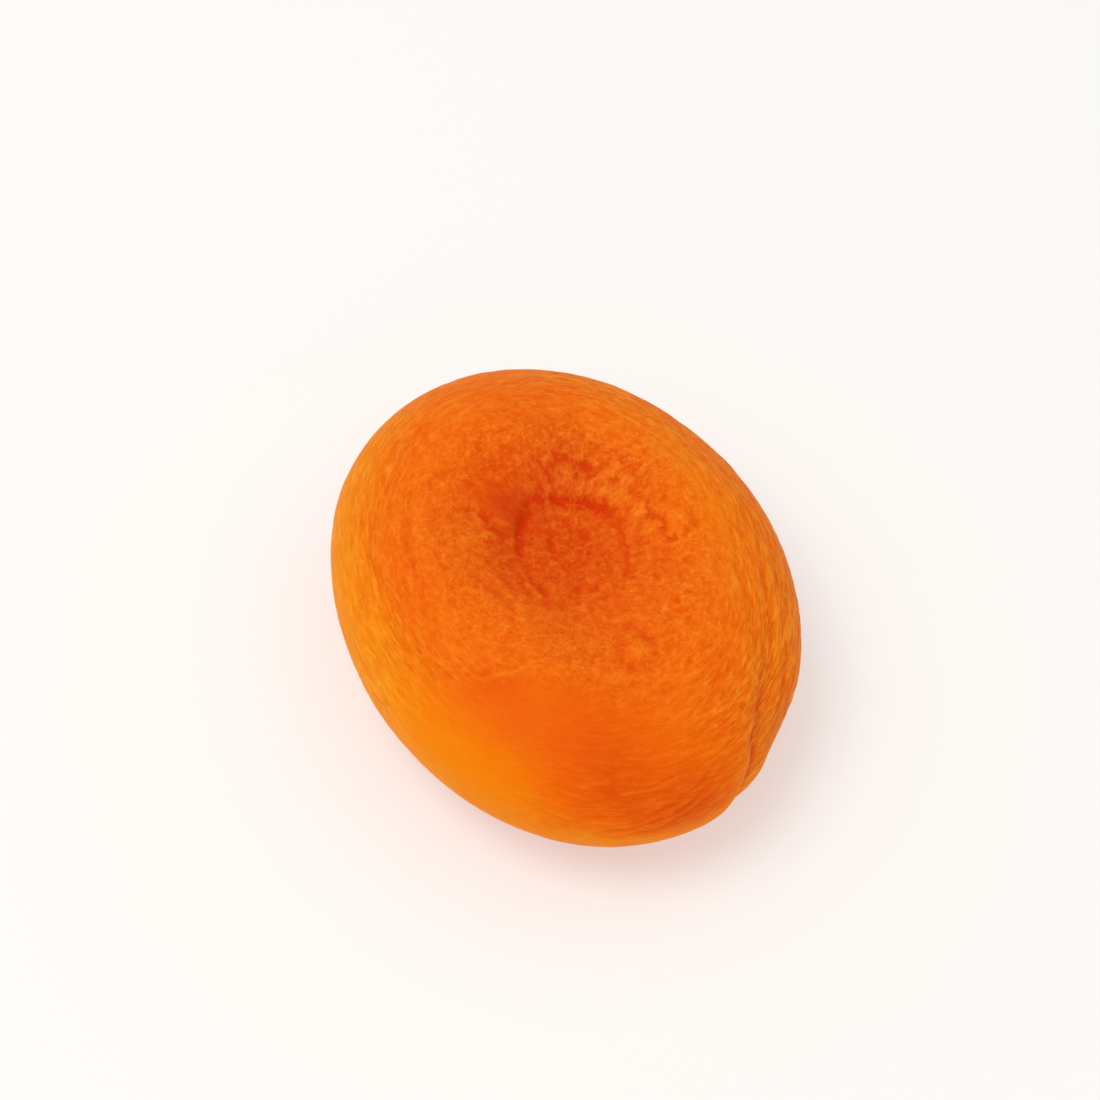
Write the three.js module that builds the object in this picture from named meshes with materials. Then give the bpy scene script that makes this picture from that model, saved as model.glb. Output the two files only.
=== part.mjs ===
// A whole pitted dried apricot, lying on its flatter side.
//
// The fruit dried as one piece, so it is one closed solid: a plump oval cushion with a dish in its
// upper face where the stone was pressed out, a shallow seam that crosses one end over the rim, and
// a small flat spot underneath where it rests.
//
// Frame: millimetres, +Z up, Y along the fruit with the seam's end at -Y, X across it.
// The origin is on the resting plane, under the middle of the fruit.

import * as THREE from "three";
import { mergeVertices } from "three/addons/utils/BufferGeometryUtils.js";

// Driving dimensions
const LENGTH = 43.4;
const WIDTH = 33.0;
const FULL_HEIGHT = 15.4; // before the dish and the flat spot are taken off

// The fruit seen from above
const PLAN_ROUNDNESS = 2.0; // 2 is an ellipse, more is squarer
const PLAN_LOBES = { count: 3, share: 0.006, turn: Math.PI / 6 };

// The fruit cut through its middle
const RIM_HEIGHT = 0.5 * FULL_HEIGHT; // where the fruit is widest
const FACE_ROUNDNESS = 2.45;
const BASE_ROUNDNESS = 2.25;
const FLAT_SPOT_DEPTH = 0.35; // how far the resting weight has pressed the base flat

// The dish in the upper face
const DISH = {
  x: 0.6,
  y: 0.9,
  depth: 3.9,
  reachX: 6.6, // where the wall is half way down
  reachY: 8.4,
  steepness: 3.6,
  corners: 5, // the skin gathers into a five-cornered floor
  cornerShare: 0.07,
  cornerTurn: 0.55,
};

// Soft swellings that gather round the dish
const SWELLINGS = [
  { count: 5, height: 0.22, turn: 2.2, at: 0.58, spread: 0.2 },
  { count: 7, height: 0.1, turn: 0.4, at: 0.8, spread: 0.16 },
];

// The seam, as places on the skin from the shoulder, over the rim, to underneath the -Y end
const SEAM = {
  depth: 0.34,
  width: 1.05,
  lip: 0.1, // the skin swells beside the seam
  lipAway: 2.6,
  places: [
    // angle round the fruit in degrees, height above the base
    { degrees: -36, height: 13.2 },
    { degrees: -50, height: 12.3 },
    { degrees: -60, height: 11.4 },
    { degrees: -67, height: 10.6 },
    { degrees: -72, height: 9.2 },
    { degrees: -75, height: 7.5 },
    { degrees: -78, height: 5.6 },
    { degrees: -83, height: 3.6 },
    { degrees: -90, height: 2.2 },
  ],
};

// Triangles: 20 * (SPLITS + 1) squared
const SPLITS = 20;

const halfLength = LENGTH / 2;
const halfWidth = WIDTH / 2;

function clamp01(value) {
  return Math.min(1, Math.max(0, value));
}

// A bell of height 1 that falls away over the width
function bell(distance, width) {
  return Math.exp(-((distance / width) ** 2));
}

// Distance from the middle to the rim, seen from above
function rimRadius(around) {
  const across = Math.abs(Math.cos(around) / halfWidth) ** PLAN_ROUNDNESS;
  const along = Math.abs(Math.sin(around) / halfLength) ** PLAN_ROUNDNESS;
  const oval = (across + along) ** (-1 / PLAN_ROUNDNESS);
  const { count, share, turn } = PLAN_LOBES;
  return oval * (1 + share * Math.cos(count * around - turn));
}

// The plump cushion, before the dish and seam: where the skin is in a direction from the middle
function cushionPoint(direction) {
  const around = Math.atan2(direction.y, direction.x);
  const outward = Math.hypot(direction.x, direction.y);
  const roundness = direction.z >= 0 ? FACE_ROUNDNESS : BASE_ROUNDNESS;
  const share =
    (outward ** roundness + Math.abs(direction.z) ** roundness) ** (-1 / roundness);
  const radius = rimRadius(around) * outward * share;
  const height = direction.z >= 0 ? FULL_HEIGHT - RIM_HEIGHT : RIM_HEIGHT;
  return new THREE.Vector3(
    radius * Math.cos(around),
    radius * Math.sin(around),
    RIM_HEIGHT + height * share * direction.z,
  );
}

// How far the upper face is pressed in at a place
function dishDepth(x, y) {
  const across = (x - DISH.x) / DISH.reachX;
  const along = (y - DISH.y) / DISH.reachY;
  const around = Math.atan2(along, across);
  const corners = 1 + DISH.cornerShare * Math.cos(DISH.corners * around - DISH.cornerTurn);
  const reach = Math.hypot(across, along) * corners;
  return DISH.depth / (1 + reach ** DISH.steepness);
}

// Height of the soft swellings at a place on the upper face
function swelling(around, outShare) {
  return SWELLINGS.reduce(
    (sum, s) =>
      sum + s.height * Math.cos(s.count * around - s.turn) * bell(outShare - s.at, s.spread),
    0,
  );
}

// The place on the plain cushion at an angle round the fruit and a height above the base
function cushionPlace({ degrees, height }) {
  const around = THREE.MathUtils.degToRad(degrees);
  const upper = height >= RIM_HEIGHT;
  const roundness = upper ? FACE_ROUNDNESS : BASE_ROUNDNESS;
  const rise = Math.abs(height - RIM_HEIGHT) / (upper ? FULL_HEIGHT - RIM_HEIGHT : RIM_HEIGHT);
  const radius = rimRadius(around) * (1 - rise ** roundness) ** (1 / roundness);
  return new THREE.Vector3(radius * Math.cos(around), radius * Math.sin(around), height);
}

const seamLine = new THREE.CatmullRomCurve3(SEAM.places.map(cushionPlace)).getSpacedPoints(160);

// How far the skin moves out at a place because of the seam; negative is inwards
function seamRelief(point) {
  const distances = seamLine.map((place) => place.distanceTo(point));
  const away = Math.min(...distances);
  const along = distances.indexOf(away) / (seamLine.length - 1);
  const strength = Math.sin(Math.PI * along) ** 0.7;
  const groove = SEAM.depth * bell(away, SEAM.width);
  const lips = SEAM.lip * bell(away - SEAM.lipAway, SEAM.width);
  return strength * (lips - groove);
}

// Outward slope of the plain cushion, good enough to push the skin in and out along
function outwardFrom(point) {
  return new THREE.Vector3(
    point.x / halfWidth ** 2,
    point.y / halfLength ** 2,
    (point.z - RIM_HEIGHT) / RIM_HEIGHT ** 2,
  ).normalize();
}

function skinPoint(direction) {
  const point = cushionPoint(direction);
  const around = Math.atan2(point.y, point.x);
  const outShare = Math.hypot(point.x / halfWidth, point.y / halfLength);
  const outward = outwardFrom(point);
  const upper = clamp01((point.z - RIM_HEIGHT) / (FULL_HEIGHT - RIM_HEIGHT));
  point.addScaledVector(outward, seamRelief(point));
  point.z += upper * (swelling(around, outShare) - dishDepth(point.x, point.y));
  point.z = Math.max(point.z, FLAT_SPOT_DEPTH);
  return point;
}

function apricotGeometry() {
  const sphere = new THREE.IcosahedronGeometry(1, SPLITS);
  sphere.deleteAttribute("normal");
  sphere.deleteAttribute("uv");
  const geometry = mergeVertices(sphere);
  const position = geometry.getAttribute("position");
  const direction = new THREE.Vector3();
  for (let i = 0; i < position.count; i += 1) {
    direction.fromBufferAttribute(position, i).normalize();
    position.setXYZ(i, ...skinPoint(direction));
  }
  // The flat spot goes to height 0, and the middle of the fruit over the origin.
  geometry.computeBoundingBox();
  const { min, max } = geometry.boundingBox;
  geometry.translate(-(min.x + max.x) / 2, -(min.y + max.y) / 2, -min.z);
  geometry.computeVertexNormals();
  return geometry;
}

const driedApricotSkin = new THREE.MeshStandardMaterial({
  color: "#e8781e",
  roughness: 0.55,
  metalness: 0,
});

const apricot = new THREE.Mesh(apricotGeometry(), driedApricotSkin);
apricot.name = "apricot";

const part = new THREE.Group();
part.add(apricot);

export default part;
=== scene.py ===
"""The looks of a whole pitted dried apricot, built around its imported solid.

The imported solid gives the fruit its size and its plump, dished form. This file lays a fine skin over
it, folds and wrinkles that skin as drying does, and gives it the colour and the soft, translucent
finish of dried apricot. Shapes are worked out in millimetres and placed in metres.
"""

import math
from typing import NamedTuple

import bmesh
import bpy
import numpy as np
from bpy.props import FloatProperty, FloatVectorProperty, IntProperty, PointerProperty
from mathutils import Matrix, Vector, noise
from mathutils.bvhtree import BVHTree


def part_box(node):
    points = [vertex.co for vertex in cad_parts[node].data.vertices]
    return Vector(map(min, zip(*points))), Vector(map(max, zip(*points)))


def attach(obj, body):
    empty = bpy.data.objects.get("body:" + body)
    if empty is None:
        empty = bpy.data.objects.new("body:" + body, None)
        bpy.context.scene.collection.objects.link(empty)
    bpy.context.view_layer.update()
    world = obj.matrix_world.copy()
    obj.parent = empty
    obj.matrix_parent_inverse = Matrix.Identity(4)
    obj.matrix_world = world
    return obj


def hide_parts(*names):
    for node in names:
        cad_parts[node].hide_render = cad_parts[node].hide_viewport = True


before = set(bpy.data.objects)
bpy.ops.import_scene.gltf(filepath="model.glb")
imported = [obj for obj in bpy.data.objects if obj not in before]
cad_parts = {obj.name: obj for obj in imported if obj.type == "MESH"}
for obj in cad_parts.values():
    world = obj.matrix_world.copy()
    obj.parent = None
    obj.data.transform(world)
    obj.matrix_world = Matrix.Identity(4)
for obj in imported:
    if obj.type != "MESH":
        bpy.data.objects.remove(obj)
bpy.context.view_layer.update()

bl_info = {
    "name": "Dried Apricot",
    "version": (1, 0, 0),
    "blender": (4, 5, 0),
    "location": "View3D > Sidebar > Apricot",
    "description": "Builds a dried apricot with a folded, finely wrinkled skin, and a plain studio",
    "category": "Object",
}

SOLID = "apricot"
MM = 0.001

# The fruit's own measures in millimetres, from its solid
LOW, HIGH = (np.array(corner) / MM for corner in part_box(SOLID))
HALF_WIDTH, HALF_LENGTH = (HIGH - LOW)[:2] / 2
THICKNESS = HIGH[2] - LOW[2]
MEAN_RADIUS = math.sqrt(HALF_WIDTH * HALF_LENGTH)
RIM_HEIGHT = 0.53 * THICKNESS
DISH_CENTRE = np.array([1.0, 0.8])
DISH_ROUNDNESS = 0.85  # its width as a share of its length
PLEAT_RADIUS = 5.5  # where the pleats round the dish are strongest
CHEEK = np.array([9.3, -17.4, 7.6])  # the middle of the lowered skin outside the seam
CHEEK_RADIUS = 4.2

# The skin's mesh and its folds
FINE_GRID, FINE_EDGE = 128, 0.18  # squares along the cube's edge, and how long that makes theirs
LIP_AWAY = 2.4  # where the lip beside a fold is highest, in half widths of the fold

# How the skin's relief shows in its colour: painted shade in folds, paler crests with painted highlight
CREST_HEIGHT = 0.07  # a crest this high is fully pale, partly as dry skin, partly as painted highlight
TUCK_DEPTH = 0.38  # a fold this deep gets the fold colour's full painted shade
USUAL_SWING = 0.25  # how far soft noise usually is from 0

# How wrinkled the skin is below the face: 0 is taut, 1 is as wrinkled as the face
FRONT_LEFT, FRONT_RIGHT, SIDES = 0.15, 0.32, 0.62


def linear(hex_colour, alpha=1.0):
    """An sRGB hex colour as linear red, green and blue, with alpha."""
    channels = [int(hex_colour[i : i + 2], 16) / 255 for i in (1, 3, 5)]
    return (
        *(c / 12.92 if c <= 0.04045 else ((c + 0.055) / 1.055) ** 2.4 for c in channels),
        alpha,
    )


# ---------------------------------------------------------------------------------------------
# What a user may change
# ---------------------------------------------------------------------------------------------


def length(name, description, millimetres):
    """A property for a length."""
    return FloatProperty(
        name=name,
        description=description,
        default=millimetres * MM,
        min=0.0,
        precision=5,
        subtype="DISTANCE",
        unit="LENGTH",
    )


def colour(name, description, hex_colour):
    """A property for a colour."""
    return FloatVectorProperty(
        name=name,
        description=description,
        default=linear(hex_colour),
        size=4,
        min=0.0,
        max=1.0,
        subtype="COLOR",
    )


def share(name, description, value):
    """A property for a share from 0 to 1."""
    return FloatProperty(
        name=name, description=description, default=value, min=0.0, max=1.0, subtype="FACTOR"
    )


class DriedApricotSizes(bpy.types.PropertyGroup):
    """Sizes of the skin's relief."""

    grid: IntProperty(
        name="Skin grid",
        description="Squares along each edge of the cube that the skin is rolled from",
        default=FINE_GRID,
        min=16,
        max=256,
    )
    rounding: length("Rounding", "How far the solid's flat facets are blended", 0.75)
    fold_depth: length("Fold depth", "Depth of the deepest folds in the dish", 0.36)
    pucker_height: length("Pucker height", "Height of the puckers beside the dish", 0.34)
    cheek_drop: length("Cheek drop", "How much lower the skin is outside the seam", 0.6)
    furrow_depth: length("Furrow depth", "Depth of the broad drying furrows", 0.12)
    wrinkle_depth: length("Wrinkle depth", "Depth of the fine wrinkles", 0.07)
    crepe_depth: length("Crepe depth", "Depth of the finest modelled wrinkles", 0.05)


class DriedApricotColours(bpy.types.PropertyGroup):
    """Colours of the dried skin, and of the light and shade painted on it."""

    flesh: colour("Flesh", "The face's orange", "#EA6000")
    # painted light: yellow for the glow through the rims and the light bounced up from the floor
    painted_light: colour("Painted light", "Yellower orange where light passes through the rim", "#F49000")
    # painted shade: redder orange for shade in the dish and on the front wall
    painted_shade_red: colour("Deep", "Redder orange in the dish", "#D03400")
    # painted shade: red-orange painted into the folds and the seam's groove
    fold: colour("Folds", "Red-orange in the folds", "#DC3400")
    # paler dry crests, partly painted highlight where light catches them
    dry_crest_highlight: colour("Dry crests and highlight", "How much paler the dry crests of the wrinkles are", "#806A1C")


class StudioSettings(bpy.types.PropertyGroup):
    """The plain studio."""

    floor: colour("Floor", "Opal sheet of the light table", "#C4C2BE")
    glow: share("Table glow", "Light that comes up through the sheet", 0.42)
    azimuth: FloatProperty(
        name="Azimuth",
        description="Where the camera stands, round from the end that the seam crosses",
        default=math.radians(-23),
        subtype="ANGLE",
        unit="ROTATION",
    )
    elevation: FloatProperty(
        name="Elevation",
        description="How far above the floor's plane the camera looks from",
        default=math.radians(52),
        subtype="ANGLE",
        unit="ROTATION",
    )
    frame_width: length("Frame width", "Width of the view at the fruit", 81.7)
    key: FloatProperty(
        name="Key light",
        description="Power of the soft key light",
        default=1.15,
        min=0.0,
        unit="POWER",
    )
    sky: share("Sky", "Brightness of the white surroundings", 0.75)


# ---------------------------------------------------------------------------------------------
# The skin's folds, puckers and wrinkles, all in millimetres
# ---------------------------------------------------------------------------------------------


class Fold(NamedTuple):
    """A line where the skin tucks in. Places are (x, y) on the upper face, or (x, y, z) at the rim."""

    places: tuple
    depth: float  # share of the deepest fold
    width: float  # half width of the tuck
    lip: float = 0.3  # how far the skin beside it swells, as a share of its depth
    lean: float = 0.0  # 1 puts the swelling on the left of the line, -1 on the right


DISH_FOLDS = (
    # the left corner of the dish's floor, under the smooth lobe
    Fold(((0.2, 6.4), (-0.9, 5.0), (-2.0, 3.6), (-2.7, 2.2), (-2.6, 0.9)), 0.85, 0.5, 0.3, -0.6),
    # the far edge, where the wall comes down steeply
    Fold(((0.0, 6.3), (1.5, 5.6), (3.0, 4.8), (4.2, 3.5), (4.8, 1.9)), 1.0, 0.5, 0.3, 0.5),
    # the right edge
    Fold(((4.7, 2.2), (4.6, 0.0), (3.9, -2.2), (2.4, -4.6)), 0.4, 0.34, 0.3),
    Fold(((6.0, 0.2), (5.6, -0.7), (4.8, -1.9), (3.7, -3.8)), 0.25, 0.32, 0.3),
    # the near edge
    Fold(((-3.2, 0.4), (-2.9, -1.2), (-2.8, -2.6), (-3.1, -4.2)), 0.42, 0.36, 0.4, -0.5),
    Fold(((0.5, -2.1), (1.1, -3.2), (1.7, -4.2)), 0.3, 0.3, 0.2),
    # small tucks in the floor
    Fold(((1.6, 4.1), (1.5, 3.3), (1.5, 2.2)), 0.38, 0.3, 0.3),
    Fold(((2.6, 2.4), (2.3, 1.6)), 0.34, 0.36, 0.2),
    Fold(((0.3, 3.5), (-0.2, 1.9), (-0.3, 0.5), (0.7, -0.3)), 0.34, 0.28, 0.3),
    Fold(((0.7, -0.3), (0.5, -1.5), (-0.2, -3.0), (-0.9, -4.4)), 0.28, 0.26, 0.3),
    # short pleats that run down the near left wall
    Fold(((-3.8, -0.2), (-3.9, -1.8), (-4.1, -3.4)), 0.36, 0.24, 0.5, 0.5),
    Fold(((-4.7, -1.0), (-4.8, -2.4), (-5.2, -3.6)), 0.22, 0.24, 0.4),
    Fold(((-5.6, -2.6), (-5.7, -3.6), (-5.9, -4.6)), 0.2, 0.24, 0.4),
    # pleats that run down the far wall
    Fold(((1.2, 9.2), (1.5, 7.7), (1.8, 6.2)), 0.34, 0.28, 0.4),
    Fold(((0.5, 9.0), (0.8, 7.5), (1.0, 6.4)), 0.3, 0.26, 0.4),
    Fold(((2.2, 8.6), (2.4, 7.4), (2.6, 6.2)), 0.28, 0.26, 0.4),
    Fold(((5.0, 7.9), (4.6, 6.8), (4.1, 5.6)), 0.4, 0.34, 0.4),
    Fold(((3.9, 7.4), (3.6, 6.6), (3.5, 5.9)), 0.24, 0.26, 0.3),
)

FACE_FOLDS = (
    # the ridge that runs out to the left of the dish
    Fold(((-6.6, 6.0), (-5.3, 5.7), (-4.4, 4.9), (-4.0, 3.7), (-3.2, 2.7)), 0.42, 0.36, 0.5, 0.8),
    Fold(((-9.0, 4.6), (-8.2, 5.9), (-7.2, 6.1), (-6.3, 5.9)), 0.16, 0.4, 0.5, 0.4),
    # the zigzag right of the dish
    Fold(((7.2, 1.9), (6.8, 0.8), (7.5, -0.2), (7.2, -1.3), (8.0, -2.4)), 0.5, 0.26, 0.5, 0.4),
    Fold(((8.3, -1.6), (8.9, -1.9), (9.6, -1.3), (9.6, -0.2)), 0.2, 0.3, 0.3),
    # creases of the left face
    Fold(((-7.4, 0.6), (-6.6, -0.9), (-6.0, -2.9), (-6.0, -4.5)), 0.2, 0.3, 0.5, 0.5),
    Fold(((-6.0, -4.5), (-6.4, -5.8), (-7.3, -7.4)), 0.16, 0.3, 0.4),
    Fold(((-10.5, 5.4), (-9.3, 7.6), (-7.0, 9.5), (-4.4, 9.7)), 0.16, 0.5, 0.4),
    Fold(((-9.6, 6.9), (-10.4, 5.0), (-10.9, 2.8), (-10.9, 0.6)), 0.2, 0.42, 0.4, 0.5),
    Fold(((-11.6, 9.2), (-12.5, 7.2), (-13.2, 4.9), (-13.5, 2.6)), 0.22, 0.4, 0.4),
    # two crescents round the pimple at the near end
    Fold(((0.7, -9.0), (0.0, -9.8), (-0.3, -11.2), (0.3, -12.5)), 0.34, 0.42, 0.4, -0.3),
    Fold(((1.1, -7.7), (1.7, -8.7), (2.0, -10.0), (2.1, -11.7)), 0.36, 0.36, 0.4, 0.3),
    # nicks between the pimple and the dish
    Fold(((5.2, -7.5), (5.1, -8.5)), 0.16, 0.28, 0.3),
    Fold(((5.3, -9.1), (5.5, -10.6)), 0.18, 0.3, 0.3),
    # wavy lines inside the right rim
    Fold(((10.6, -2.4), (10.0, -4.3), (9.1, -6.5), (8.3, -8.0)), 0.14, 0.3, 0.4),
    Fold(((11.2, -4.6), (10.6, -6.8), (10.3, -8.6), (9.8, -10.6)), 0.16, 0.28, 0.5, 0.4),
    Fold(((14.4, -3.0), (13.9, -5.9), (13.3, -9.0), (12.2, -11.8)), 0.14, 0.3, 0.4),
    # the pale raised lines along the face's crest
    Fold(((-10.6, -7.6), (-10.0, -8.7), (-8.9, -9.2), (-7.1, -9.6), (-5.8, -9.5)), -0.8, 0.2, 0.0),
    Fold(((-3.4, -11.3), (-1.4, -12.3), (1.3, -13.4), (3.4, -14.1), (5.9, -13.9)), -0.3, 0.24, 0.0),
    Fold(((-12.6, -5.5), (-11.9, -6.1), (-11.2, -6.3)), -0.2, 0.18, 0.0),
    # the small pockets at the top of the seam
    Fold(((9.8, -9.4), (9.6, -11.0), (9.2, -12.4), (8.8, -13.6)), 0.22, 0.28, 0.5, 0.5),
    Fold(((8.6, -14.0), (8.3, -14.9)), 0.2, 0.26, 0.3),
)

SEAM_FOLDS = (
    # the seam itself
    Fold(
        (
            (10.0, -11.6, 12.3),
            (9.4, -13.6, 11.6),
            (8.4, -15.3, 11.1),
            (7.3, -17.0, 10.6),
            (6.5, -18.3, 9.8),
            (5.8, -19.2, 8.6),
            (5.2, -19.8, 7.5),
            (4.2, -20.2, 5.6),
            (2.4, -19.8, 3.6),
        ),
        0.4, 0.46, 0.7, -0.8,
    ),
    # lines that run with the seam on its outer side
    Fold(
        ((12.8, -6.0, 12.2), (11.7, -9.4, 12.1), (10.7, -12.5, 11.6), (9.5, -15.2, 10.8)),
        0.2, 0.26, 0.5,
    ),
    Fold(
        ((12.9, -9.4, 11.4), (11.8, -12.5, 11.0), (10.7, -15.2, 10.1), (9.0, -17.6, 9.2)),
        0.2, 0.26, 0.5,
    ),
    Fold(
        ((13.6, -9.0, 10.2), (12.4, -13.0, 9.4), (10.6, -16.2, 8.6), (8.2, -18.7, 7.6)),
        0.18, 0.26, 0.4,
    ),
    # the fine pleats that curve round the end from the seam
    Fold(
        ((-6.7, -20.0, 7.3), (-3.1, -21.4, 7.6), (-1.0, -21.6, 8.1), (1.2, -21.4, 8.9), (3.2, -20.8, 9.7)),
        0.34, 0.2, 0.6,
    ),
    Fold(
        ((-6.0, -20.3, 8.1), (-2.4, -21.4, 8.4), (-0.4, -21.5, 9.0), (1.6, -21.0, 9.8), (3.5, -20.2, 10.4)),
        0.34, 0.2, 0.6,
    ),
    Fold(
        ((-3.4, -21.1, 8.9), (-1.4, -21.3, 9.4), (0.5, -21.0, 10.0), (2.3, -20.3, 10.5), (4.0, -19.2, 11.0)),
        0.26, 0.2, 0.6,
    ),
    Fold(((-7.8, -19.1, 8.8), (-5.9, -20.0, 9.2), (-4.0, -20.6, 9.6)), 0.12, 0.18, 0.5),
)

BACK_FOLDS = (
    # broad furrows that run round the far end
    Fold(((13.0, 9.5, 9.0), (10.0, 14.5, 8.4), (5.0, 18.6, 8.0), (-1.0, 20.3, 8.0)), 0.6, 0.7, 0.5, 0.4),
    Fold(((9.5, 16.0, 5.6), (4.5, 20.0, 5.2), (-1.5, 21.3, 5.6), (-7.0, 19.6, 6.0)), 1.7, 0.9, 0.3, -0.4),
    Fold(((-13.2, 11.5, 5.4), (-9.4, 16.6, 5.4), (-5.2, 19.8, 4.6)), 1.5, 0.8, 0.4),
    Fold(((12.5, 12.0, 3.8), (8.0, 17.0, 3.4), (2.5, 19.8, 3.0)), 1.5, 0.8, 0.4),
    # short creases that cross them
    Fold(((6.0, 19.6, 8.2), (6.6, 19.9, 7.0), (6.2, 19.8, 5.6)), 0.5, 0.4, 0.4),
    Fold(((2.6, 20.8, 7.6), (3.0, 21.2, 6.4), (2.4, 21.0, 5.2)), 0.45, 0.4, 0.4),
    Fold(((-9.0, 18.4, 7.4), (-8.2, 19.2, 6.4), (-8.4, 18.6, 4.8)), 0.5, 0.45, 0.4),
    # furrows beside the flat spot
    Fold(((10.5, -9.0, 2.4), (12.0, -3.0, 2.0), (12.2, 4.0, 2.0), (10.5, 10.0, 2.4)), 1.1, 0.9, 0.4),
    Fold(((-11.0, 8.0, 1.8), (-12.2, 1.0, 1.6), (-11.0, -6.0, 1.8)), 0.9, 0.8, 0.4),
)

FOLDS = DISH_FOLDS + FACE_FOLDS + SEAM_FOLDS + BACK_FOLDS


class Pucker(NamedTuple):
    """A small rounded swelling of the skin."""

    x: float
    y: float
    radius: float
    height: float  # share of the pucker height; below 0 it's a dent


PUCKERS = (
    Pucker(5.3, 5.5, 0.55, 1.0),
    Pucker(6.1, 5.6, 0.6, 1.0),
    Pucker(6.6, 4.1, 0.6, 1.0),
    Pucker(5.2, 4.4, 0.5, 0.8),
    Pucker(5.7, 3.1, 0.65, 0.9),
    Pucker(3.4, 5.6, 0.8, 0.7),
    Pucker(3.1, 7.1, 0.7, 0.6),
    Pucker(6.3, 1.4, 0.6, 0.6),
    Pucker(8.7, -0.7, 0.9, 0.7),
    Pucker(6.5, -0.4, 0.6, 0.6),
    Pucker(1.0, -10.9, 0.75, 1.3),
    # the smooth lobe left of the dish
    Pucker(-2.4, 5.9, 2.1, 1.5),
    Pucker(-5.4, 3.4, 2.2, 0.8),
    # small swellings in the dish's floor
    Pucker(2.2, 3.5, 0.7, 0.7),
    Pucker(3.0, 0.4, 1.1, 0.8),
    Pucker(-1.6, 1.9, 0.9, 0.7),
    Pucker(-1.4, -2.2, 0.9, 0.7),
    Pucker(1.3, -1.6, 0.8, 0.5),
    Pucker(2.3, 1.8, 0.4, -0.4),
)


class Patch(NamedTuple):
    """A soft round patch of the skin, seen from above."""

    x: float
    y: float
    radius: float
    strength: float

    def over(self, x, y):
        """The patch's strength at each place."""
        return self.strength * bell(np.hypot(x - self.x, y - self.y), self.radius)


SMOOTH_LOBE = Patch(-2.4, 6.1, 2.5, 0.8)
# painted red shade on the front wall
PAINTED_FRONT_SHADE = Patch(-4.5, -18.0, 4.0, 0.45)
# painted red shade and shadow on the lobe's slope and the far wall
PAINTED_FACE_SHADE = (Patch(-2.6, 5.6, 3.4, 0.3), Patch(3.0, 9.0, 3.0, 0.35))  # the lobe and the far wall


def spline(places, step=0.25):
    """Points along a smooth curve through the places, about a step apart."""
    ends = [2 * places[0] - places[1], *places, 2 * places[-1] - places[-2]]
    points = []
    for a, b, c, d in zip(ends, ends[1:], ends[2:], ends[3:]):
        count = max(2, round(float(np.linalg.norm(c - b)) / step))
        t = np.linspace(0, 1, count, endpoint=False)[:, None]
        points.append(
            0.5 * (2 * b + (c - a) * t + (2 * a - 5 * b + 4 * c - d) * t**2 + (3 * b - a - 3 * c + d) * t**3)
        )
    points.append(places[-1][None])
    return np.concatenate(points)


def smooth_step(low, high, value):
    """0 below low, 1 above high, and a soft change between."""
    t = np.clip((value - low) / (high - low), 0, 1)
    return t * t * (3 - 2 * t)


def bell(distance, width):
    """1 at no distance, falling away over the width."""
    return np.exp(-((distance / width) ** 2))


def crests_of(values):
    """Soft noise folded into sharp crests, with rounded valleys between them."""
    return USUAL_SWING - np.abs(values)


def noise_at(points, seed):
    """Soft noise from -1 to 1 at each point."""
    shift = Vector((seed * 17.31, seed * -9.77, seed * 5.13))
    return np.array([noise.noise(Vector(p) + shift) for p in points])


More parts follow.
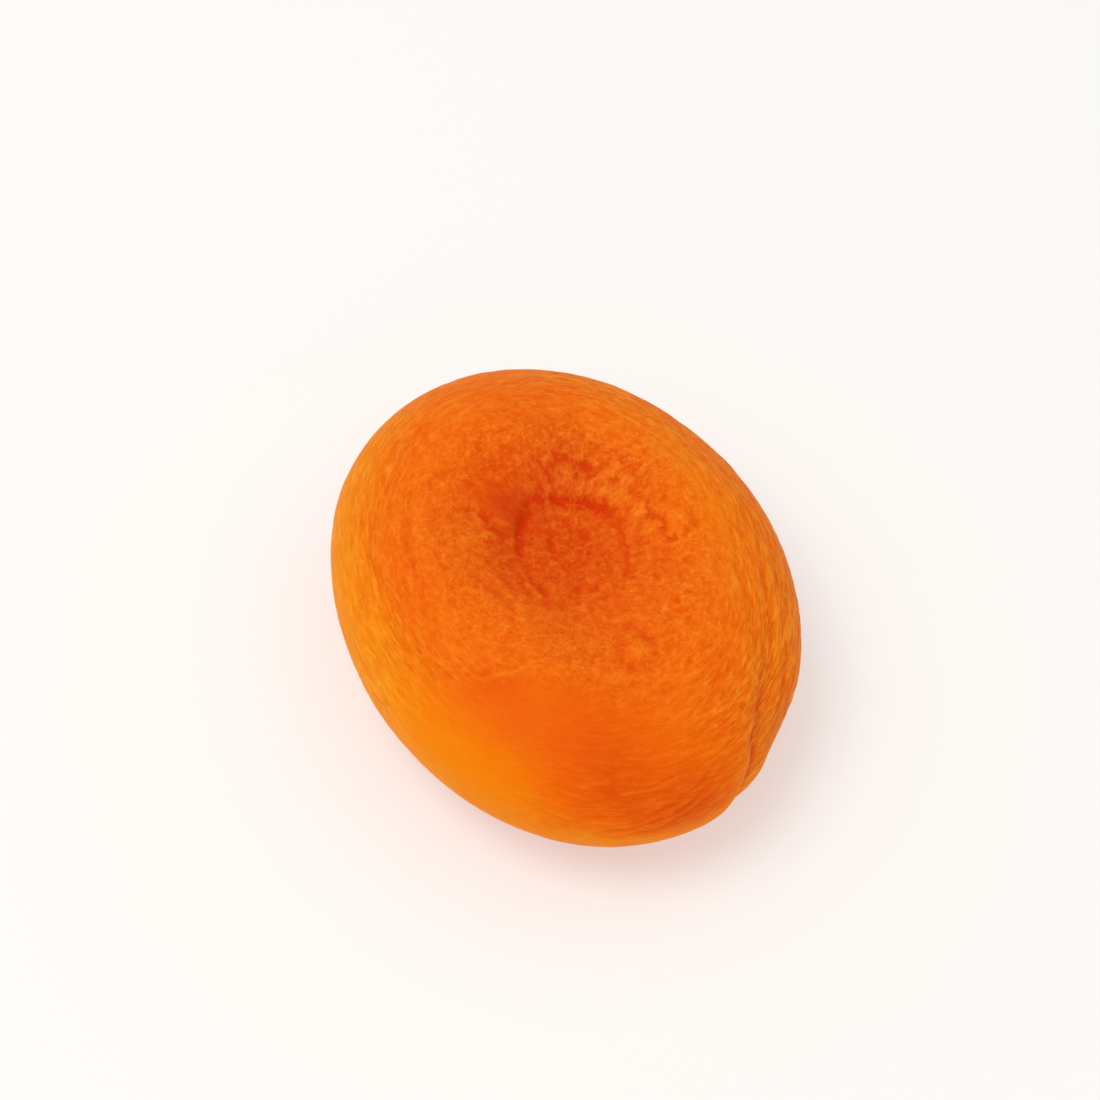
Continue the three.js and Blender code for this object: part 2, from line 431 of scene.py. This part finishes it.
class Skin:
    """A fine grid of skin over the solid, in millimetres."""

    def __init__(self, solid, sizes):
        self.sizes = sizes
        self.tree = self.solid_tree(solid)
        self.mesh = self.rolled_cube(sizes.grid)
        self.edges = np.empty(len(self.mesh.edges) * 2, np.int64)
        self.mesh.edges.foreach_get("vertices", self.edges)
        self.edges = self.edges.reshape(-1, 2)
        self.neighbours = np.bincount(self.edges.ravel())[:, None].astype(float)
        self.points = self.laid_on_solid()
        self.measure()

    @staticmethod
    def solid_tree(solid):
        """The solid's faces, for finding places on them."""
        corners = [v.co / MM for v in solid.data.vertices]
        return BVHTree.FromPolygons(corners, [tuple(p.vertices) for p in solid.data.polygons])

    @staticmethod
    def rolled_cube(grid):
        """A ball of even squares, rolled from a cube."""
        cube = bmesh.new()
        bmesh.ops.create_cube(cube, size=2.0)
        bmesh.ops.subdivide_edges(cube, edges=cube.edges, cuts=grid - 1, use_grid_fill=True)
        mesh = bpy.data.meshes.new("apricot_skin")
        cube.to_mesh(mesh)
        cube.free()
        points = np.empty(len(mesh.vertices) * 3)
        mesh.vertices.foreach_get("co", points)
        points = np.tan(points.reshape(-1, 3) * math.pi / 4)  # evens the squares out
        points /= np.linalg.norm(points, axis=1)[:, None]
        mesh.vertices.foreach_set("co", points.ravel())
        return mesh

    def laid_on_solid(self):
        """The ball's points, cast outwards from the fruit's middle onto the solid and rounded over."""
        points = np.empty(len(self.mesh.vertices) * 3)
        self.mesh.vertices.foreach_get("co", points)
        rays = points.reshape(-1, 3) * (HALF_WIDTH, HALF_LENGTH, RIM_HEIGHT)
        middle = Vector((0.0, 0.0, RIM_HEIGHT))
        hits = [self.tree.ray_cast(middle, Vector(ray))[0] for ray in rays]
        if any(hit is None for hit in hits):
            raise RuntimeError("the solid doesn't close round the fruit's middle")
        return self.smoothed(np.array(hits), self.sizes.rounding / MM)

    def smoothed(self, values, reach):
        """Values averaged with their neighbours' over about the reach in millimetres."""
        edge = FINE_EDGE * FINE_GRID / self.sizes.grid
        rounds = max(1, round((reach / edge) ** 2))
        a, b = self.edges.T
        columns = values if values.ndim == 2 else values[:, None]
        for _ in range(rounds):
            total = np.empty_like(columns)
            for i in range(columns.shape[1]):
                column = columns[:, i]
                size = len(column)
                total[:, i] = np.bincount(a, column[b], size) + np.bincount(b, column[a], size)
            columns = 0.5 * columns + 0.5 * total / self.neighbours
        return columns if values.ndim == 2 else columns[:, 0]

    def measure(self):
        """Works out where each point is on the fruit."""
        x, y, z = self.points.T
        self.around = np.arctan2(y / HALF_LENGTH, x / HALF_WIDTH)
        self.out = np.hypot(x / HALF_WIDTH, y / HALF_LENGTH)
        self.upper = smooth_step(RIM_HEIGHT - 1, RIM_HEIGHT + 3, z)
        self.normals = self.outward()
        under = smooth_step(RIM_HEIGHT + 2, RIM_HEIGHT - 2, z)
        out_down = self.out + under * (2 - 2 * self.out)
        self.down = MEAN_RADIUS * out_down + THICKNESS - z  # length down the skin from the dish
        self.dish = np.hypot(x - DISH_CENTRE[0], (y - DISH_CENTRE[1]) * DISH_ROUNDNESS)

    def outward(self):
        """The skin's outward direction at each point."""
        self.mesh.vertices.foreach_set("co", self.points.ravel())
        self.mesh.update()
        normals = np.empty(len(self.points) * 3)
        self.mesh.vertex_normals.foreach_get("vector", normals)
        return normals.reshape(-1, 3)

    def place(self, spot):
        """A named spot, put on the solid: (x, y) from above, or the nearest place to (x, y, z)."""
        if len(spot) == 2:
            found = self.tree.ray_cast(Vector((*spot, 2 * THICKNESS)), Vector((0, 0, -1)))[0]
        else:
            found = self.tree.find_nearest(Vector(spot))[0]
        if found is None:
            raise RuntimeError(f"{spot} isn't over the fruit")
        return np.array(found)

    def fold_relief(self, fold, wandering):
        """How far a fold moves the skin at each point, as a share of the deepest fold."""
        line = spline([self.place(spot) for spot in fold.places])
        reach = 6 * fold.width + 0.5
        near = np.all((wandering > line.min(0) - reach) & (wandering < line.max(0) + reach), axis=1)
        index = np.flatnonzero(near)
        gaps = wandering[index, None] - line[None]
        nearest = np.linalg.norm(gaps, axis=2).argmin(axis=1)
        gap = gaps[np.arange(len(index)), nearest]
        slope = np.gradient(line, axis=0)[nearest]
        step = np.linalg.norm(slope, axis=1)
        direction = slope / step[:, None]
        past = np.clip(np.einsum("ij,ij->i", gap, direction), -0.5 * step, 0.5 * step)
        gap = gap - past[:, None] * direction
        away = np.linalg.norm(gap, axis=1) / fold.width
        side = np.einsum("ij,ij->i", np.cross(self.normals[index], direction), gap) / fold.width
        along = np.clip((nearest + past / step) / (len(line) - 1), 0.01, 0.99)
        fade = np.sin(math.pi * along) ** 0.6
        tuck = -((1 + 0.6 * away**2) ** -2.0)
        beside = (away / LIP_AWAY) ** 2
        lip = fold.lip * beside * np.exp(1 - beside) * (1 + fold.lean * np.tanh(side))
        relief = np.zeros(len(self.points))
        relief[index] = fold.depth * fade * (tuck + lip)
        return relief

    def sway(self, size, seeds):
        """A soft shift of each point along x, y and z, from noise of a size."""
        return np.stack([noise_at(self.points / size, seed) for seed in seeds], axis=1)

    def folds(self):
        """All the folds. Their lines wander a little, as creases in dried skin do."""
        wandering = self.points + 0.28 * self.sway(1.6, (1, 2, 3)) + 0.1 * self.sway(0.7, (4, 5, 6))
        relief = sum(self.fold_relief(fold, wandering) for fold in FOLDS)
        return relief * self.sizes.fold_depth / MM

    def puckers(self):
        """All the puckers."""
        x, y, _ = self.points.T
        relief = np.zeros(len(self.points))
        for pucker in PUCKERS:
            away = np.hypot(x - pucker.x, y - pucker.y)
            relief += pucker.height * bell(away, pucker.radius) * self.upper
        return relief * self.sizes.pucker_height / MM

    def lowered_cheek(self):
        """The skin outside the seam lies lower than the skin inside it."""
        away = np.linalg.norm(self.points - CHEEK, axis=1)
        return -self.sizes.cheek_drop / MM * bell(away, CHEEK_RADIUS)

    def ring_noise(self, across, along, seed):
        """Noise stretched round the fruit, with its size down the skin and its size round the rim."""
        radius = MEAN_RADIUS / along
        wobble = 0.5 * noise_at(self.points / 3.0, seed + 0.5)
        points = np.stack(
            [
                radius * np.cos(self.around),
                radius * np.sin(self.around),
                self.down / across + wobble,
            ],
            axis=1,
        )
        return noise_at(points, seed)

    def calm(self):
        """0 where the skin is taut and smooth, as on the front wall, and 1 where it is wrinkled."""
        x, y, z = self.points.T
        inside = y + 0.55 * x + 13.7  # length in from the line where the face turns down
        blur = 1.4 + 4.0 * smooth_step(-7, 1, x)  # the line is sharp on the left only
        near = smooth_step(-blur, 0.6, inside)
        far = smooth_step(9, 12, z)
        face = near + (far - near) * smooth_step(-3, 3, y)
        face = np.maximum(face, smooth_step(11, 8.5, self.dish))
        left = smooth_step(-8, -14, x) * smooth_step(-10, -4, y)
        side = smooth_step(2, 10, x) + left + smooth_step(-14, 4, y)
        near_end = 0.5 * smooth_step(12.5, 10.5, z) * smooth_step(-14, -19, y)
        front = FRONT_LEFT + (FRONT_RIGHT - FRONT_LEFT) * smooth_step(-8, -2, x)
        wall = front + (SIDES - front) * np.clip(side + near_end, 0, 1)
        return np.clip(wall + (1 - wall) * face - SMOOTH_LOBE.over(x, y), 0, 1)

    def crinkle(self):
        """How much more crinkled the skin is than calm says: most on the far side of the dish."""
        x, y, _ = self.points.T
        far = 0.4 * bell(self.dish - 6.5, 3.0) * smooth_step(0, 4, y)
        rim = smooth_step(0.7, 0.9, self.out) * (0.2 + 0.2 * smooth_step(-4, 8, x))
        right = 0.2 * smooth_step(2, 8, x)
        floor = 0.2 * bell(self.dish, 4)
        return 1 + far + rim + right - floor

    def wrinkles(self):
        """Broad furrows, and finer wrinkles whose crests are sharp. They run round the fruit near
        its rim, and every way on its face."""
        sizes = self.sizes
        rim = smooth_step(0.55, 0.85, self.out)
        near_dish = bell(self.dish, 7.5)
        right = smooth_step(6, 13, self.points[:, 0])
        warped = self.points + 0.35 * self.sway(1.3, (21, 22, 23))
        furrows = -crests_of(self.ring_noise(across=2.6, along=6.0, seed=11)) * (0.35 + 0.3 * rim)
        rings = crests_of(self.ring_noise(across=0.85, along=3.2, seed=12))
        rings *= 0.45 + (0.75 + 0.4 * right) * rim
        cells = crests_of(noise_at(warped / 1.15, 14)) * (1.5 - 0.9 * rim) * (0.8 + 0.8 * near_dish)
        fine_rings = crests_of(self.ring_noise(across=0.5, along=2.0, seed=13)) * (0.3 + 0.9 * rim)
        fine_cells = crests_of(noise_at(warped / 0.62, 15)) * (1.3 - 0.6 * rim)
        relief = sizes.furrow_depth * furrows
        relief += sizes.wrinkle_depth * (rings + cells)
        relief += sizes.crepe_depth * (fine_rings + fine_cells)
        return relief / MM * self.calm()

    def shape(self):
        """Moves the skin by its relief, and keeps where it stands out and where it tucks in."""
        relief = self.folds() + self.puckers() + self.wrinkles() + self.lowered_cheek()
        relief *= smooth_step(0.05, 1.6, self.points[:, 2])  # flat where it rests
        self.crest = np.tanh((relief - self.smoothed(relief, 0.7)) / CREST_HEIGHT)
        # the seam's groove is in the solid, so it's found from how far the skin lies under its surroundings.
        # Like the folds, it gets painted shade in the fold colour through tuck.
        sunk = np.einsum("ij,ij->i", self.smoothed(self.points, 1.6) - self.points, self.normals)
        seam = 4.0 * np.maximum(sunk, 0) * smooth_step(-8, -12, self.points[:, 1])
        self.tuck = np.clip((self.smoothed(relief, 1.6) - relief + seam) / TUCK_DEPTH, 0, 1)
        self.points = self.points + self.normals * relief[:, None]
        self.points[:, 2] = np.maximum(self.points[:, 2], 0)
        self.normals = self.outward()

    def painted_light_shade(self):
        """Painted light and shade: -1 for painted red shade, 1 for a painted yellow glow through the flesh.
        """
        x, y, z = self.points.T
        rim = smooth_step(0.72, 1.0, self.out)
        left = smooth_step(2.0, -15.0, x)
        right = smooth_step(4.0, 12.0, x)
        # painted yellow light: left rim, right of the face, taut front, floor bounce at the near end's foot
        painted_light = rim * (0.1 + 0.6 * left - 0.22 * right)
        painted_light += 0.25 * right * smooth_step(5.0, 10.0, self.dish) + 0.03 * smooth_step(-3, -9, x)
        painted_light += 0.3 * (1 - self.calm()) * smooth_step(-2, -6, y) * smooth_step(-9, -1, x)
        painted_light += 0.2 * smooth_step(9, 7, z) * smooth_step(-16, -20, y)
        # painted red shade: the front wall, and the dish with its far left edge
        wall = smooth_step(13.0, 9.5, z) * smooth_step(6.3, 8.3, z) * smooth_step(-4, -16, y)
        painted_light -= 0.7 * wall * (1 - rim * left) * smooth_step(6, -1, x)
        painted_light -= PAINTED_FRONT_SHADE.over(x, y) * smooth_step(8.5, 10.5, z)
        # painted shade and shadow, red: the dish's hollow, the lobe's slope and the far wall
        dish = 0.75 * bell(self.dish, 6.6) + sum(patch.over(x, y) for patch in PAINTED_FACE_SHADE)
        dish += 0.3 * bell(self.dish - 5.2, 2.0) * smooth_step(-4, 4, y - x)
        return np.clip(painted_light - dish * self.upper, -1, 1)

    def finished(self):
        """The skin as a mesh in metres, with its measures kept for the material."""
        self.shape()
        x, y, _ = self.points.T
        mesh = self.mesh
        mesh.vertices.foreach_set("co", (self.points * MM).ravel())
        measures = {
            "crest": self.crest,
            "tuck": self.tuck,
            "painted_light_shade": self.painted_light_shade(),
            "rough": self.calm() * self.crinkle(),
            "rim": smooth_step(0.45, 0.85, self.out),
            "pleat": 0.7 * bell(self.dish - PLEAT_RADIUS, 2.4) * self.upper,
        }
        for name, values in measures.items():
            attribute = mesh.attributes.new(name, "FLOAT", "POINT")
            attribute.data.foreach_set("value", values.astype(np.float32))
        flow = np.stack([np.cos(self.around), np.sin(self.around), self.down], axis=1)
        turn = np.arctan2(y - DISH_CENTRE[1], x - DISH_CENTRE[0])
        rays = np.stack([np.cos(turn), np.sin(turn), self.dish], axis=1)
        for name, values in (("flow", flow), ("rays", rays)):
            attribute = mesh.attributes.new(name, "FLOAT_VECTOR", "POINT")
            attribute.data.foreach_set("vector", values.astype(np.float32).ravel())
        mesh.shade_smooth()
        mesh.update()
        return mesh


# ---------------------------------------------------------------------------------------------
# Materials
# ---------------------------------------------------------------------------------------------


# A mix node's sockets for values and for colours, which share their names
FACTOR, VALUE_A, VALUE_B = 0, 2, 3
COLOUR_A, COLOUR_B, MIXED_COLOUR = 6, 7, 2


def add(tree, kind, settings=None, links=None):
    """Adds a node with its settings, and links its inputs from other nodes' outputs."""
    node = tree.nodes.new(kind)
    for name, value in (settings or {}).items():
        if isinstance(name, int) or name in node.inputs:
            node.inputs[name].default_value = value
        else:
            setattr(node, name, value)
    for name, source in (links or {}).items():
        tree.links.new(source, node.inputs[name])
    return node


def grain(tree, vector, size):
    """Soft grains of a size from 0 to 1, with finer grains on them."""
    scaled = add(tree, "ShaderNodeVectorMath", {"operation": "DIVIDE", 1: size}, {0: vector})
    soft = add(
        tree,
        "ShaderNodeTexNoise",
        {"Scale": 1.0, "Detail": 2.0, "Roughness": 0.7, "Distortion": 0.3},
        {"Vector": scaled.outputs[0]},
    )
    spread = add(
        tree,
        "ShaderNodeMapRange",
        {"From Min": 0.32, "From Max": 0.68},
        {"Value": soft.outputs["Fac"]},
    )
    return spread.outputs["Result"]


def strokes(tree, vector, size):
    """Thin short crests: lines where soft noise passes through its middle, broken up by other noise."""
    scaled = add(tree, "ShaderNodeVectorMath", {"operation": "DIVIDE", 1: size}, {0: vector})
    place = scaled.outputs[0]
    soft = add(tree, "ShaderNodeTexNoise", {"Scale": 1.0, "Detail": 1.0}, {"Vector": place})
    centred = add(tree, "ShaderNodeMath", {"operation": "SUBTRACT", 1: 0.5}, {0: soft.outputs["Fac"]})
    folded = add(tree, "ShaderNodeMath", {"operation": "ABSOLUTE"}, {0: centred.outputs[0]})
    crest = add(
        tree,
        "ShaderNodeMapRange",
        {"interpolation_type": "SMOOTHSTEP", "From Max": 0.13, "To Min": 1.0, "To Max": 0.0},
        {"Value": folded.outputs[0]},
    )
    gaps = add(tree, "ShaderNodeTexNoise", {"Scale": 1.5, "Detail": 0.0}, {"Vector": place})
    kept = add(
        tree,
        "ShaderNodeMapRange",
        {"interpolation_type": "SMOOTHSTEP", "From Min": 0.48, "From Max": 0.6},
        {"Value": gaps.outputs["Color"]},
    )
    broken = add(
        tree,
        "ShaderNodeMath",
        {"operation": "MULTIPLY"},
        {0: crest.outputs["Result"], 1: kept.outputs["Result"]},
    )
    return broken.outputs[0]


def on_face(size):
    """A pattern's size in millimetres, the same every way."""
    return (size * MM,) * 3


def into_dish(across, down):
    """A pattern's size across the pleats and down them, in the measures that run round the dish."""
    return (across / PLEAT_RADIUS, across / PLEAT_RADIUS, down)


def round_rim(along, across):
    """A pattern's size along the rim and across it, in the measures that run round the fruit."""
    return (along / MEAN_RADIUS, along / MEAN_RADIUS, across)


# The skin's finest crepe is 0.1 to 0.2 mm across, too fine to show. So its grains are drawn about
# 0.4 mm across, and its lines about 0.5 and 1 mm apart.
CREPE_LAYERS = (
    # pattern, strength, and size on the face, down into the dish and round the rim
    (grain, 1.0, on_face(0.38), into_dish(0.42, 0.7), round_rim(1.3, 0.3)),
    (strokes, 0.75, on_face(0.55), into_dish(0.5, 0.8), round_rim(2.2, 0.5)),
    (strokes, 0.6, on_face(1.1), None, round_rim(4.5, 0.85)),
)
CREPE_LEVEL = 0.78  # the layers' usual sum


def crepe(tree, place, measures):
    """The skin's finest crepe, too fine to model: grains and short lines on the face, streaks that
    run round the fruit near its rim, and short pleats that run down into the dish. It is about 0
    on the whole, and above it on the crests."""
    height = None
    for pattern, strength, face_size, dish_size, rim_size in CREPE_LAYERS:
        layer = pattern(tree, place, face_size)
        if dish_size:
            pleats = pattern(tree, measures["rays"], dish_size)
            links = {FACTOR: measures["pleat"], VALUE_A: layer, VALUE_B: pleats}
            layer = add(tree, "ShaderNodeMix", {"data_type": "FLOAT"}, links).outputs[0]
        rings = pattern(tree, measures["flow"], rim_size)
        links = {FACTOR: measures["rim"], VALUE_A: layer, VALUE_B: rings}
        layer = add(tree, "ShaderNodeMix", {"data_type": "FLOAT"}, links).outputs[0]
        settings = {"operation": "MULTIPLY_ADD", 1: strength}
        links = {0: layer}
        if height is None:
            settings[2] = -CREPE_LEVEL
        else:
            links[2] = height
        height = add(tree, "ShaderNodeMath", settings, links).outputs[0]
    return height


def flesh_colour(tree, colours, place, measures, crests):
    """Orange with painted light and shade: a painted yellow glow where the value is high, painted red shade
    where it is low and in the folds, and paler crests, partly dry skin and partly painted highlight."""
    # soft blotches about 5 mm across, as the sugar in the flesh dries unevenly
    blotches = add(
        tree,
        "ShaderNodeTexNoise",
        {"Scale": 1 / (5 * MM), "Detail": 4.0, "Roughness": 0.6},
        {"Vector": place},
    )
    uneven = add(
        tree,
        "ShaderNodeMath",
        {"operation": "MULTIPLY_ADD", 1: 0.5, 2: -0.25},
        {0: blotches.outputs["Fac"]},
    )
    # the painted light and shade, made uneven by the blotches
    mottled = add(tree, "ShaderNodeMath", {"operation": "ADD"}, {0: measures["painted_light_shade"], 1: uneven.outputs[0]})
    spread = add(
        tree,
        "ShaderNodeMapRange",
        {"From Min": -1.0, "From Max": 1.0},
        {"Value": mottled.outputs[0]},
    )
    ramp = add(tree, "ShaderNodeValToRGB", links={"Fac": spread.outputs["Result"]})
    elements = ramp.color_ramp.elements
    elements.new(0.5)
    shades = (colours.painted_shade_red, colours.flesh, colours.painted_light)
    for element, position, shade in zip(elements, (0.0, 0.5, 1.0), shades):
        element.position = position
        element.color = shade
    # painted shade: the fold colour where the skin tucks in, in the folds and the seam's groove
    folded = add(
        tree,
        "ShaderNodeMix",
        {"data_type": "RGBA", COLOUR_B: colours.fold},
        {COLOUR_A: ramp.outputs["Color"], "Factor": measures["tuck"]},
    )
    # crests, both the modelled ones and the crepe, are paler: partly dry skin, partly painted highlight
    dry = add(
        tree,
        "ShaderNodeMapRange",
        {"From Min": -1.0, "From Max": 1.0, "To Min": 0.05, "To Max": 0.5},
        {"Value": measures["crest"]},
    )
    pale = add(
        tree,
        "ShaderNodeMath",
        {"operation": "MULTIPLY_ADD", 1: 0.45, "use_clamp": True},
        {0: crests, 2: dry.outputs["Result"]},
    )
    shown = add(
        tree,
        "ShaderNodeMath",
        {"operation": "MULTIPLY", "use_clamp": True},
        {0: pale.outputs[0], 1: measures["rough"]},
    )
    skin = add(
        tree,
        "ShaderNodeMix",
        {"data_type": "RGBA", "blend_type": "ADD", COLOUR_B: colours.dry_crest_highlight},
        {COLOUR_A: folded.outputs[MIXED_COLOUR], "Factor": shown.outputs[0]},
    )
    return skin.outputs[MIXED_COLOUR]


def dried_apricot_skin(colours):
    """Dried apricot skin, sulphured and sun-dried: translucent orange flesh under a thin satin skin, with
    the last of the fruit's fuzz. Its colour also carries painted light and shade: a painted yellow glow
    where light passes through the rim, painted red shade in its folds, in the dish and on the front wall,
    and crests that are partly paler dry skin and partly painted highlight."""
    material = bpy.data.materials.new("dried_apricot_skin")
    material.use_nodes = True
    tree = material.node_tree
    tree.nodes.clear()
    place = add(tree, "ShaderNodeTexCoord").outputs["Object"]
    measures = {
        name: add(tree, "ShaderNodeAttribute", {"attribute_name": name}).outputs["Fac"]
        for name in ("painted_light_shade", "crest", "tuck", "rough", "rim", "pleat")
    }
    for name in ("flow", "rays"):
        measures[name] = add(tree, "ShaderNodeAttribute", {"attribute_name": name}).outputs["Vector"]
    crests = crepe(tree, place, measures)
    raised = add(tree, "ShaderNodeMath", {"operation": "MULTIPLY"}, {0: crests, 1: measures["rough"]})
    bump = add(
        tree,
        "ShaderNodeBump",
        {"Strength": 1.0, "Distance": 0.06 * MM},  # how high the crepe's crests stand
        {"Height": raised.outputs[0]},
    )
    surface = add(
        tree,
        "ShaderNodeBsdfPrincipled",
        {
            "Roughness": 0.5,
            "IOR": 1.42,
            "Specular IOR Level": 0.05,
            "Subsurface Weight": 0.3,
            "Subsurface Radius": (1.0, 0.35, 0.1),
            "Subsurface Scale": 1.2 * MM,
            "Sheen Weight": 0.1,
            "Sheen Roughness": 0.25,
            "Sheen Tint": linear("#FFC861"),
        },
        {
            "Base Color": flesh_colour(tree, colours, place, measures, crests),
            "Normal": bump.outputs["Normal"],
        },
    )
    add(tree, "ShaderNodeOutputMaterial", links={"Surface": surface.outputs["BSDF"]})
    return material


def opal_acrylic(shade, glow):
    """Opal acrylic: the cast, matt sheet of a light table, pale and faintly lit from below, which
    keeps the fruit's shadow soft and light."""
    material = bpy.data.materials.new("opal_acrylic")
    material.use_nodes = True
    surface = material.node_tree.nodes["Principled BSDF"]
    surface.inputs["Base Color"].default_value = shade
    surface.inputs["Roughness"].default_value = 0.9
    surface.inputs["Specular IOR Level"].default_value = 0.0
    surface.inputs["Emission Color"].default_value = linear("#FFFEFC")
    surface.inputs["Emission Strength"].default_value = glow
    return material


# ---------------------------------------------------------------------------------------------
# Operators
# ---------------------------------------------------------------------------------------------


class APRICOT_OT_fruit(bpy.types.Operator):
    """Lay the folded, wrinkled skin over the fruit's solid"""

    bl_idname = "apricot.fruit"
    bl_label = "Dried Apricot"

    def execute(self, context):
        scene = context.scene
        mesh = Skin(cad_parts[SOLID], scene.apricot_sizes).finished()
        mesh.materials.append(dried_apricot_skin(scene.apricot_colours))
        fruit = bpy.data.objects.new("dried_apricot", mesh)
        scene.collection.objects.link(fruit)
        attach(fruit, "root")
        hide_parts(SOLID)
        return {"FINISHED"}


class APRICOT_OT_studio(bpy.types.Operator):
    """Set up the pale floor, the soft lights and the camera"""

    bl_idname = "apricot.studio"
    bl_label = "Studio"

    # metres
    FLOOR_HALF = 3.0
    KEY_PLACE = (-0.24, -0.01, 0.54)
    KEY_SIZE = 0.35
    AIM_HEIGHT = 0.0065  # about half way up the fruit

    # millimetres
    LENS = 85.0
    SENSOR = 36.0

    # how far the middle of the view lies from the fruit, as shares of the view's width
    LEFT_OF_FRUIT = 0.0142
    ABOVE_FRUIT = 0.048

    def execute(self, context):
        scene = context.scene
        studio = scene.apricot_studio
        self.floor(scene, studio)
        self.lights(scene, studio)
        self.camera(scene, studio)
        return {"FINISHED"}

    def floor(self, scene, studio):
        """A plain sheet that reaches well past the view."""
        half = self.FLOOR_HALF
        mesh = bpy.data.meshes.new("floor")
        corners = [(-half, -half, 0), (half, -half, 0), (half, half, 0), (-half, half, 0)]
        mesh.from_pydata(corners, [], [(0, 1, 2, 3)])
        mesh.materials.append(opal_acrylic(studio.floor, studio.glow))
        floor = bpy.data.objects.new("floor", mesh)
        scene.collection.objects.link(floor)

    def lights(self, scene, studio):
        """White surroundings and one large, soft key light, high on the left."""
        scene.view_settings.view_transform = "Standard"
        world = bpy.data.worlds.new("white_surroundings")
        scene.world = world
        world.use_nodes = True
        background = world.node_tree.nodes["Background"]
        background.inputs["Color"].default_value = linear("#FFFFFF")
        background.inputs["Strength"].default_value = studio.sky
        key = bpy.data.lights.new("key", "AREA")
        key.shape = "DISK"
        key.size = self.KEY_SIZE
        key.energy = studio.key
        lamp = bpy.data.objects.new("key", key)
        lamp.location = self.KEY_PLACE
        lamp.rotation_euler = (-lamp.location).to_track_quat("-Z", "Y").to_euler()
        scene.collection.objects.link(lamp)

    def camera(self, scene, studio):
        """Looks down on the fruit, which sits a little right of and below the middle of the view."""
        a, e = studio.azimuth, studio.elevation
        back = Vector((math.sin(a) * math.cos(e), -math.cos(a) * math.cos(e), math.sin(e)))
        right = Vector((0, 0, 1)).cross(back).normalized()
        up = back.cross(right)
        aim = Vector((0, 0, self.AIM_HEIGHT))
        distance = studio.frame_width * self.LENS / self.SENSOR
        data = bpy.data.cameras.new("camera")
        data.lens = self.LENS
        data.sensor_width = self.SENSOR
        data.clip_start = 0.01
        data.clip_end = 20
        camera = bpy.data.objects.new("camera", data)
        camera.location = aim + back * distance
        aside = up * self.ABOVE_FRUIT - right * self.LEFT_OF_FRUIT
        look_at = aim + aside * studio.frame_width
        camera.rotation_euler = (look_at - camera.location).to_track_quat("-Z", "Y").to_euler()
        scene.collection.objects.link(camera)
        scene.camera = camera


class APRICOT_PT_sidebar(bpy.types.Panel):
    """Lists the apricot's operators and settings"""

    bl_label = "Dried Apricot"
    bl_space_type = "VIEW_3D"
    bl_region_type = "UI"
    bl_category = "Apricot"

    def draw(self, context):
        for settings in (
            context.scene.apricot_sizes,
            context.scene.apricot_colours,
            context.scene.apricot_studio,
        ):
            for name in settings.__annotations__:
                self.layout.prop(settings, name)
        for operator in OPERATORS:
            self.layout.operator(operator.bl_idname)


OPERATORS = (APRICOT_OT_fruit, APRICOT_OT_studio)
SETTINGS = {
    "apricot_sizes": DriedApricotSizes,
    "apricot_colours": DriedApricotColours,
    "apricot_studio": StudioSettings,
}


def register():
    """Adds the settings, the operators and the panel."""
    for kind in (*SETTINGS.values(), *OPERATORS, APRICOT_PT_sidebar):
        bpy.utils.register_class(kind)
    for name, kind in SETTINGS.items():
        setattr(bpy.types.Scene, name, PointerProperty(type=kind))


def unregister():
    """Takes them away again."""
    for name in SETTINGS:
        delattr(bpy.types.Scene, name)
    for kind in (APRICOT_PT_sidebar, *OPERATORS, *SETTINGS.values()):
        bpy.utils.unregister_class(kind)


def main():
    """Builds the fruit and its studio."""
    register()
    bpy.ops.apricot.fruit()
    bpy.ops.apricot.studio()


if __name__ == "__main__":
    main()
